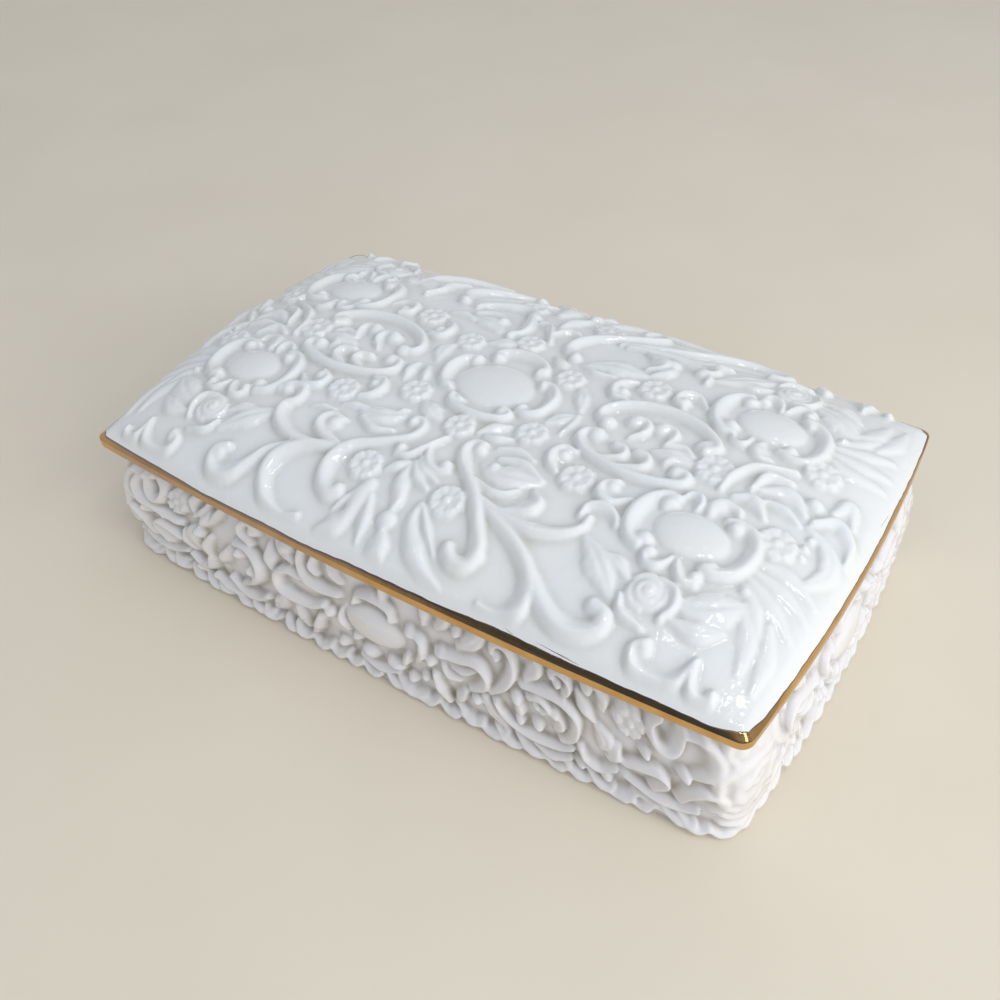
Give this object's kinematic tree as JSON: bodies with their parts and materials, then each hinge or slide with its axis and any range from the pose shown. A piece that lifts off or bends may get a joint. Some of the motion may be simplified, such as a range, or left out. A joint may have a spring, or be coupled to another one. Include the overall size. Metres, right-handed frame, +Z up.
{
  "type": "trinket box",
  "caption": "Oblong glazed porcelain trinket box with a bulged relief tray and a domed relief lift-off lid with a gilt edge.",
  "frame": {"origin": "middle of the box's plan, on the surface that it stands on", "axes": "+X along the box's length, -Y towards the front that the picture shows, +Z up"},
  "size_m": [0.1544, 0.0938, 0.0429],
  "materials": {
    "white_glaze_tray": "opaque white glazed porcelain, glossy",
    "white_glaze": "opaque white glazed porcelain, glossy",
    "bright_gold": "fired bright gold, mirror gloss"
  },
  "bodies": {
    "tray_body": {"tray": "white_glaze_tray"},
    "lid_body": {"lid": "white_glaze", "gilt_edge": "bright_gold"}
  },
  "joints": [
    {"name": "lid_lift", "type": "slide", "parent": "tray_body", "child": "lid_body", "axis": [0, 0, 1], "range_m": [0, 0.06]}
  ]
}
